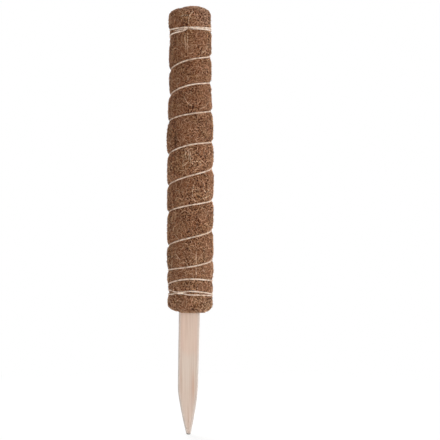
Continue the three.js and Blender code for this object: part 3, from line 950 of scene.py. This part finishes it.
def mat_column(index):
    """Points of the mat's skin on one column: up its outside, over the hem, down its bore and under."""
    angle = LAP_EDGE + 2 * np.pi * index / MAT_COLUMNS
    from_edge = 2 * np.pi * (1 - index / MAT_COLUMNS)
    low = FOOT_TUCK
    high = SLEEVE_TOP - HEAD_TUCK_DEPTH
    z = np.linspace(low, high, round((high - low) / MAT_ROW) + 1)
    swollen = swell(angle, z)
    side = pillow_radius(z) - NAP - groove_depth(z) * (1 - swollen) + lap_lift(from_edge, z) * swollen
    side = side - pressed_in(angle, z) * swollen
    foot_bend = np.linspace(tuck_angle(side[0], FOOT_TUCK_REACH), 0, FOOT_BENDS)[:-1]
    foot_r = side[0] - FOOT_TUCK_REACH * (1 - np.cos(foot_bend))
    hem = FOOT_TUCK - NAP + FOOT_TILT * (math.cos(angle) - FOOT_TILT_LEVEL)
    foot_z = low - hem * np.sin(foot_bend)
    head_bend = np.linspace(0, tuck_angle(side[-1], HEAD_TUCK_REACH), HEAD_BENDS)[1:]
    head_r = side[-1] - HEAD_TUCK_REACH * (1 - np.cos(head_bend))
    rim = HEAD_TUCK_DEPTH - NAP - RIM_DROP + RIM_TILT * math.cos(angle)
    head_z = high + rim * np.sin(head_bend)
    bore_r, bore_z = np.transpose(BORE_ROWS)
    radius = np.concatenate([foot_r, side, head_r, bore_r])
    height = np.concatenate([foot_z, z, head_z, bore_z])
    return np.stack([radius * np.cos(angle), radius * np.sin(angle), height], -1)


def mat_mesh():
    grid = np.stack([mat_column(i) for i in range(MAT_COLUMNS)], 1)
    outside = grid.shape[0] - len(BORE_ROWS)
    skin = grid[:outside]
    from_edge = 2 * np.pi * (1 - np.arange(MAT_COLUMNS) / MAT_COLUMNS)
    gap = np.zeros(grid.shape[:2])
    # painted shade in the gap beside the lap's edge and in the seam round the plug
    gap[:outside] = lap_crevice(from_edge[None, :], skin[..., 2]) * lap_gap(skin[..., 2])
    gap[outside - HEM_ROWS : outside] = HEM_PAINTED_SHADE
    grid[:outside] = skin + outward(skin) * LUMP * grain(skin, LUMP_SIZE, seed=4)[..., None]
    mesh = grid_mesh("coir_felt", grid, closed_rows=True)
    shown = np.zeros(grid.shape[:2], bool)
    shown[: outside - 1] = True
    shown[-1] = True
    mark_outside(mesh, shown)
    mark(mesh, "gap", gap)
    return mesh


# Coir strands


def random_value(tree, low, high, seed):
    feeds = {"Min": low, "Max": high, "Seed": seed}
    return node(tree, "FunctionNodeRandomValue", feeds, data_type="FLOAT")


def stored(tree, geometry, name, value, domain):
    """Keeps a value on curves or instances under a name."""
    feeds = {"Geometry": geometry, "Name": name, "Value": value}
    return node(tree, "GeometryNodeStoreNamedAttribute", feeds, data_type="FLOAT", domain=domain)


def named(tree, name, kind="FLOAT"):
    """Reads a value kept under a name."""
    made = node(tree, "GeometryNodeInputNamedAttribute", {"Name": name}, data_type=kind)
    return output(made, "Attribute")


def from_skin(tree, skin, value, kind):
    """Reads a value at the nearest place of a skin."""
    feeds = {"Mesh": skin, "Value": value}
    return output(node(tree, "GeometryNodeSampleNearestSurface", feeds, data_type=kind), "Value")


def own_noise(tree, own, spread, scale, detail):
    """Noise that is another one for each strand."""
    feeds = {
        "Vector": node(tree, "GeometryNodeInputPosition"), "W": calc(tree, "MULTIPLY", own, spread),
        "Scale": scale, "Detail": detail,
    }
    return node(tree, "ShaderNodeTexNoise", feeds, noise_dimensions="4D")


def waved(tree, curves, drift, reach):
    """Curves moved about by the three channels of a noise."""
    centred = vector_calc(tree, "SUBTRACT", output(drift, "Color"), (0.5, 0.5, 0.5))
    offset = vector_calc(tree, "SCALE", centred, scale=reach)
    return node(tree, "GeometryNodeSetPosition", {"Geometry": curves, "Offset": offset})


def to_ends(tree, power):
    """0 at the middle of a strand and 1 at its ends, rising later with a higher power."""
    along = output(node(tree, "GeometryNodeSplineParameter"), "Factor")
    from_middle = calc(tree, "ABSOLUTE", calc(tree, "MULTIPLY_ADD", along, 2.0, -1.0))
    return calc(tree, "POWER", from_middle, power)


def tapered(tree, power, loss):
    """Girth of a strand that loses a share of it towards its ends."""
    return calc(tree, "SUBTRACT", 1.0, calc(tree, "MULTIPLY", to_ends(tree, power), loss))


def round_solid(tree, curve, radius, girth, sides):
    ring = node(tree, "GeometryNodeCurvePrimitiveCircle", {"Resolution": sides, "Radius": radius})
    feeds = {"Curve": curve, "Profile Curve": output(ring, "Curve"), "Scale": girth, "Fill Caps": True}
    return node(tree, "GeometryNodeCurveToMesh", feeds)


def scattered(tree, given, gap):
    """Places for strands on the shown part of a skin, fewer where it gapes."""
    feeds = {
        "Mesh": given["Geometry"],
        "Selection": named(tree, "outside", "BOOLEAN"),
        "Distance Min": calc(tree, "DIVIDE", EVENNESS, calc(tree, "SQRT", given["Density"])),
        "Density Max": calc(tree, "MULTIPLY", given["Density"], CROWDING),
        "Density Factor": calc(tree, "SUBTRACT", 1.0, gap),
        "Seed": given["Seed"],
    }
    return node(tree, "GeometryNodeDistributePointsOnFaces", feeds, distribute_method="POISSON")


def curl(tree, given):
    """One curled strand of radius 1, through the origin."""
    feeds = {
        "Resolution": given["Points"], "Radius": 1.0, "Sweep Angle": given["Sweep"],
        "Start Angle": calc(tree, "MULTIPLY", given["Sweep"], -0.5),
    }
    arc = output(node(tree, "GeometryNodeCurveArc", feeds), "Curve")
    return node(tree, "GeometryNodeTransform", {"Geometry": arc, "Translation": (-1, 0, 0)})


def flowing(tree, rotation):
    """Turns strands on the skin the way that the coir around them runs."""
    flow = node(tree, "ShaderNodeTexNoise", {"Scale": FLOW_GRAIN, "Detail": 0.0})
    scatter = random_value(tree, -FLOW_SCATTER, FLOW_SCATTER, seed=11)
    spin = calc(tree, "MULTIPLY_ADD", output(flow, "Fac"), FLOW_TURN, scatter)
    turn = node(tree, "FunctionNodeEulerToRotation", {0: node(tree, "ShaderNodeCombineXYZ", {"Z": spin})})
    feeds = {"Rotation": rotation, "Rotate By": turn}
    return node(tree, "FunctionNodeRotateRotation", feeds, rotation_space="LOCAL")


def strands_tree():
    """Curled strands scattered over a skin and laid on it."""
    tree, given = start_tree(
        "coir_strands", Density=1e5, Sweep=2.0, Small=0.003, Large=0.008, Thickness=0.0002, Lift=0.0002,
        Layers=0.0004, Stray=0.0, Wave=0.002, Pale=1.0, Dark=0.0, Points=8, Seed=1,
    )
    skin = given["Geometry"]
    gap = named(tree, "gap")
    spots = scattered(tree, given, gap)
    laid = node(
        tree, "GeometryNodeInstanceOnPoints",
        {
            "Points": output(spots, "Points"), "Instance": curl(tree, given),
            "Rotation": flowing(tree, output(spots, "Rotation")),
            "Scale": random_value(tree, given["Small"], given["Large"], seed=12),
        },
    )
    tint = random_value(tree, given["Dark"], given["Pale"], seed=13)
    tinted = stored(tree, laid, "tint", tint, "INSTANCE")
    owned = stored(tree, tinted, "own", random_value(tree, 0.0, 1.0, seed=14), "INSTANCE")
    curves = node(tree, "GeometryNodeRealizeInstances", {"Geometry": owned})
    own = named(tree, "own")
    drift = own_noise(tree, own, WAVE_SPREAD, scale=WAVE_GRAIN, detail=1.0)
    curves = waved(tree, curves, drift, given["Wave"])
    shaded = stored(tree, curves, "gap", from_skin(tree, skin, gap, "FLOAT"), "POINT")
    hop = own_noise(tree, own, HOP_SPREAD, scale=HOP_GRAIN, detail=0.0)
    layer = calc(tree, "MULTIPLY", output(hop, "Fac"), given["Layers"])
    stray = calc(tree, "MULTIPLY", calc(tree, "MULTIPLY", to_ends(tree, power=3.0), given["Stray"]), own)
    height = calc(tree, "ADD", calc(tree, "ADD", layer, stray), given["Lift"])
    normal = from_skin(tree, skin, node(tree, "GeometryNodeInputNormal"), "FLOAT_VECTOR")
    near = node(tree, "GeometryNodeProximity", {"Geometry": skin}, target_element="FACES")
    raised = vector_calc(tree, "SCALE", normal, scale=height)
    place = vector_calc(tree, "ADD", output(near, "Position"), raised)
    settled = node(tree, "GeometryNodeSetPosition", {"Geometry": shaded, "Position": place})
    own_girth = calc(tree, "MULTIPLY_ADD", own, *STRAND_GIRTHS)
    girth = calc(tree, "MULTIPLY", tapered(tree, power=5.0, loss=0.6), own_girth)
    solid = round_solid(tree, settled, given["Thickness"], girth, STRAND_SIDES)
    return end_tree(tree, solid, given["Material"])


def loose_tree():
    """Single strands along chains of edges, a little wavy and thinner at their ends."""
    tree, given = start_tree("loose_strands", Thickness=0.00027, Wave=0.0012, Tint=0.95)
    chain = node(tree, "GeometryNodeMeshToCurve", {"Mesh": given["Geometry"]})
    soft = node(tree, "GeometryNodeCurveSplineType", {"Curve": chain}, spline_type="CATMULL_ROM")
    path = node(tree, "GeometryNodeResampleCurve", {"Curve": soft, "Length": LOOSE_STEP}, mode="LENGTH")
    drift = node(tree, "ShaderNodeTexNoise", {"Scale": LOOSE_WAVE_GRAIN, "Detail": 1.0})
    tinted = stored(tree, waved(tree, path, drift, given["Wave"]), "tint", given["Tint"], "POINT")
    girth = tapered(tree, power=4.0, loss=0.7)
    solid = round_solid(tree, tinted, given["Thickness"], girth, LOOSE_SIDES)
    return end_tree(tree, solid, given["Material"])


def loose_mesh():
    """The loose strands' chains, on the mat's surface."""
    points = []
    edges = []
    for strand in LOOSE_STRANDS:
        marks = np.linspace(0, 1, len(strand))
        shares = np.linspace(0, 1, LOOSE_POINTS * len(strand))
        degrees, heights = (np.interp(shares, marks, part) for part in np.transpose(strand))
        for i, (angle, z) in enumerate(zip(np.radians(degrees - 90), heights / 1000)):
            sunk = groove_depth(z) * (1 - swell(angle, np.array([z]))[0])
            radius = pillow_radius(z) - sunk + LOOSE_LIFT
            if i:
                edges.append((len(points) - 1, len(points)))
            points.append((radius * math.cos(angle), radius * math.sin(angle), z))
    mesh = bpy.data.meshes.new("loose")
    mesh.from_pydata(points, edges, [])
    return mesh


def make_sleeve(strands):
    mat = keep(new_object("coir_sleeve", mat_mesh(), FELT), "coir", "coir_mat")
    for name, sizes in LAYERS.items():
        looks = UNDER if name in DEEP_LAYERS else STRAND
        keep(grown(name, mat.data.copy(), strands, looks, **sizes), "coir")
    keep(grown("coir_loose", loose_mesh(), loose_tree(), STRAND), "coir")


# Plug and foot wads


def plug_mesh():
    """A wad of coir with a low crown."""
    inward = np.linspace(0, 1, PLUG_RINGS)[1:-1]
    rim = len(PLUG_SIDE)
    side_shares, side_heights = np.transpose(PLUG_SIDE)
    radius = PLUG_RADIUS * np.concatenate([side_shares, [1], 1 - inward, [PLUG_EYE]])
    crown = SLEEVE_TOP - NAP
    crown_rows = crown - RIM_DROP * (1 - inward) ** 2
    height = np.concatenate([side_heights, [crown - RIM_DROP], crown_rows, [crown]])
    angle = np.linspace(0, 2 * np.pi, PLUG_COLUMNS, endpoint=False)
    flat = np.stack([np.outer(radius, np.cos(angle)), np.outer(radius, np.sin(angle))], -1)
    grid = np.concatenate([flat, np.repeat(height[:, None, None], PLUG_COLUMNS, 1)], -1)
    grid[rim:, :, 2] += RIM_TILT * grid[rim:, :, 0] / PLUG_RADIUS
    grid[rim:, :, 2] -= np.abs(LUMP * grain(grid[rim:], END_LUMP_SIZE, seed=5))
    mesh = grid_mesh("plug_felt", grid, capped=True)
    shown = np.zeros((len(radius) - 1, PLUG_COLUMNS), bool)
    shown[rim:] = True
    mark_outside(mesh, np.append(shown, [False, True]))
    return mesh


def wad_mesh(side):
    """Half-moon wad between a broad face of the stake and the tube."""
    reach = math.acos((STAKE_HALF_THICKNESS + FIT) / PLUG_RADIUS)
    arc = np.linspace(-reach, reach, WAD_ARC_POINTS)
    outline = np.stack([PLUG_RADIUS * np.sin(-arc), side * PLUG_RADIUS * np.cos(arc)], -1)
    chord = np.linspace(outline[-1], outline[0], WAD_CHORD_POINTS)[1:-1]
    outline = np.concatenate([outline, chord])
    if side < 0:
        outline = outline[::-1]
    middle = outline.mean(0)
    grid = np.stack([
        np.concatenate([middle + (outline - middle) * share, np.full((len(outline), 1), z)], 1)
        for share, z in WAD_ROWS
    ])
    grid[:WAD_SHOWN_ROWS, :, 2] += np.abs(LUMP * grain(grid[:WAD_SHOWN_ROWS], END_LUMP_SIZE, seed=7))
    mesh = grid_mesh("wad_felt", grid, capped=True)
    shown = np.zeros((len(WAD_ROWS) - 1, len(outline)), bool)
    shown[:WAD_SHOWN_ROWS] = True
    mark_outside(mesh, np.append(shown, [True, False]))
    return mesh


def make_stuffing(strands):
    plug = keep(new_object("plug_wad", plug_mesh(), FELT), "coir", "top_plug")
    keep(grown("plug_strands", plug.data.copy(), strands, STRAND, **PLUG_TUFT), "coir")
    for side, name in ((-1, "foot_wad_front"), (1, "foot_wad_back")):
        wad = keep(new_object(name + "_coir", wad_mesh(side), FELT), "coir", name)
        keep(grown(name + "_strands", wad.data.copy(), strands, STRAND, **WAD_TUFT), "coir")


# Laid twine and hitches


def twine_tree():
    """Three plies twisted round a chain of edges."""
    tree, given = start_tree("laid_twine", Ply=PLY_RADIUS, Offset=PLY_OFFSET, Lay=LAY)
    chain = node(tree, "GeometryNodeMeshToCurve", {"Mesh": given["Geometry"]})
    step = calc(tree, "DIVIDE", given["Lay"], STEPS_PER_TWIST)
    path = node(tree, "GeometryNodeResampleCurve", {"Curve": chain, "Length": step}, mode="LENGTH")
    along = output(node(tree, "GeometryNodeSplineParameter"), "Length")
    twists = calc(tree, "DIVIDE", along, given["Lay"])
    normal = node(tree, "GeometryNodeInputNormal")
    across = vector_calc(tree, "CROSS_PRODUCT", node(tree, "GeometryNodeInputTangent"), normal)
    swelling = node(tree, "ShaderNodeTexNoise", {"Scale": PLY_GRAIN, "Detail": 1.0})
    girth = calc(tree, "MULTIPLY_ADD", output(swelling, "Fac"), *PLY_GIRTHS)
    join = node(tree, "GeometryNodeJoinGeometry")
    for ply in range(PLIES):
        turn = calc(tree, "MULTIPLY_ADD", twists, 2 * math.pi, ply * 2 * math.pi / PLIES)
        out = vector_calc(tree, "SCALE", normal, scale=calc(tree, "COSINE", turn))
        side = vector_calc(tree, "SCALE", across, scale=calc(tree, "SINE", turn))
        offset = vector_calc(tree, "SCALE", vector_calc(tree, "ADD", out, side), scale=given["Offset"])
        twisted = node(tree, "GeometryNodeSetPosition", {"Geometry": path, "Offset": offset})
        solid = round_solid(tree, twisted, given["Ply"], girth, PLY_SIDES)
        tree.links.new(solid.outputs[0], join.inputs[0])
    return end_tree(tree, join, given["Material"])


def hitch_points(turn, tail_end):
    """Twine drawn tight round the two strands of a ring, then tucked along between them to the left."""
    upper, lower = twine_points(np.array([turn, turn + 1.0]))
    middle = (upper + lower) / 2
    out = np.array([middle[0], middle[1], 0]) / np.hypot(middle[0], middle[1])
    along = np.array([-out[1], out[0], 0])
    half = (upper[2] - lower[2]) / 2 + WRAP_HEIGHT
    turns = np.linspace(0, WRAP_TURNS, WRAP_POINTS)
    angle = 2 * np.pi * turns + WRAP_START
    wrap = (
        middle
        + np.outer(WRAP_DEPTH * np.cos(angle), out)
        + np.outer(half * np.sin(angle), (0, 0, 1))
        + np.outer((WRAP_SHIFT - turns) * WRAP_LEAN, along)
    )
    ahead = turn + np.linspace(TAIL_START, tail_end, TAIL_POINTS)
    between = (twine_points(ahead) + twine_points(ahead + 1)) / 2
    tucked = between + np.outer(np.linspace(TAIL_OUT, TAIL_IN, TAIL_POINTS), out)
    return np.concatenate([wrap, tucked])


def make_twine():
    laid = twine_tree()
    winding = line_mesh("winding", twine_points(np.linspace(0, TURNS, TURNS * POINTS_PER_TURN + 1)))
    keep(grown("twine_laid", winding, laid, TWINE), "twine", "binding_twine")
    thin = dict(Ply=HITCH_GIRTH * PLY_RADIUS, Offset=HITCH_GIRTH * PLY_OFFSET)
    for name, turn, tail_end, stands_for in (
        ("head_knot", HEAD_HITCH_TURN, HEAD_TAIL_END, "head_hitch"),
        ("foot_knot", FOOT_HITCH_TURN, FOOT_TAIL_END, "foot_hitch"),
    ):
        chain = line_mesh(name, hitch_points(turn, tail_end))
        keep(grown(name, chain, laid, TWINE, **thin), "twine", stands_for)


# Stake


def stake_half_width(z):
    shoulder = STAKE_TIP + STAKE_POINT
    blade = STAKE_WIDTH + (STAKE_SHOULDER_WIDTH - STAKE_WIDTH) * np.clip(z, shoulder, 0) / shoulder
    slope = (STAKE_SHOULDER_WIDTH - STAKE_TIP_WIDTH) / STAKE_POINT
    past = np.maximum(shoulder + STAKE_SHOULDER_BLEND - z, 0)
    blended = np.minimum(past, 2 * STAKE_SHOULDER_BLEND) ** 2 / (4 * STAKE_SHOULDER_BLEND)
    straight = np.maximum(0, past - 2 * STAKE_SHOULDER_BLEND)
    share = np.clip((shoulder - z) / STAKE_POINT, 0, 1)
    return (blade - slope * (blended + straight)) / 2 + STAKE_POINT_BULGE * 4 * share * (1 - share)


def stake_middle(z):
    past = np.clip((STAKE_TIP + STAKE_POINT - z) / STAKE_POINT, 0, 1)
    return (z - LEAN_PIVOT) * math.tan(STAKE_LEAN) + STAKE_POINT_SKEW * past


def stake_ring(z, shrink):
    """A rectangle with rounded corners and extra points along its faces, anticlockwise from above."""
    half_w = stake_half_width(z) - shrink
    half_d = STAKE_HALF_THICKNESS - shrink
    edge = min(STAKE_EDGE, half_w / 2)
    corners = []
    for number, (sx, sy) in enumerate([(1, -1), (1, 1), (-1, 1), (-1, -1)]):
        turn = np.radians(-90 + 90 * number + np.linspace(0, 90, CORNER_POINTS))
        x = sx * (half_w - edge) + edge * np.cos(turn)
        y = sy * (half_d - edge) + edge * np.sin(turn)
        corners.append(np.stack([x, y], -1))
    ring = []
    for corner, ahead in zip(corners, corners[1:] + corners[:1]):
        face = corner[-1] + np.outer(FACE_SHARES, ahead[0] - corner[-1])
        ring += [corner, face]
    flat = np.concatenate(ring) + (stake_middle(z), 0)
    return np.column_stack([flat, np.full(len(flat), z)])


def stake_mesh():
    """The sawn stake, with its roughly sawn faces and the painted shade along its edges and at its end
    marked.
    """
    blade = [(z, 0) for z in np.arange(BLADE_START, BLADE_END, BLADE_ROW)]
    rows = [*TIP_ROWS, *blade, *END_ROWS]
    grid = np.stack([stake_ring(z, shrink) for z, shrink in rows])
    chips = CHIP_DEPTH * grain(grid * CHIP_STRETCH, CHIP_SIZE, seed=3)
    splinters = SPLINTER_DEPTH * grain(grid * SPLINTER_STRETCH, SPLINTER_SIZE, seed=4)
    grid = grid + outward(grid) * (1, 1, 0) * (chips + splinters)[..., None]
    mesh = grid_mesh("wood_stake_sawn", grid, capped=True)
    heights = np.array(rows)[:, :1]
    point = smoothstep(STAKE_TIP + STAKE_POINT + POINT_GREY_START - heights, 0, POINT_GREY_REACH)
    sides = np.abs(grid[..., 1]) < STAKE_HALF_THICKNESS - SIDE_START
    from_side = stake_half_width(heights) - np.abs(grid[..., 0] - stake_middle(heights))
    # grey painted shade along the edges of the broad faces
    edge_shade = EDGE_PAINTED_SHADE * (1 - smoothstep(from_side, *EDGE_PAINTED_SHADE_SPAN))
    mark(mesh, "sawn_and_edge_shade", np.where(sides, np.maximum(point, SIDE_GREY), edge_shade))
    # painted shade on the tip's end
    end = 1 - smoothstep(heights - STAKE_TIP, *TIP_PAINTED_SHADE_SPAN)
    mark(mesh, "end", np.broadcast_to(end, sides.shape))
    return mesh


# The pole


def make_pole():
    strands = strands_tree()
    make_sleeve(strands)
    make_stuffing(strands)
    make_twine()
    keep(new_object("wood_stake_sawn", stake_mesh(), WOOD), "wood", "wood_stake")
    for name, material in (("core_tube", PLASTIC), ("nail_left", STEEL), ("nail_right", STEEL)):
        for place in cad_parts[name].material_slots:
            place.material = material


make_pole()
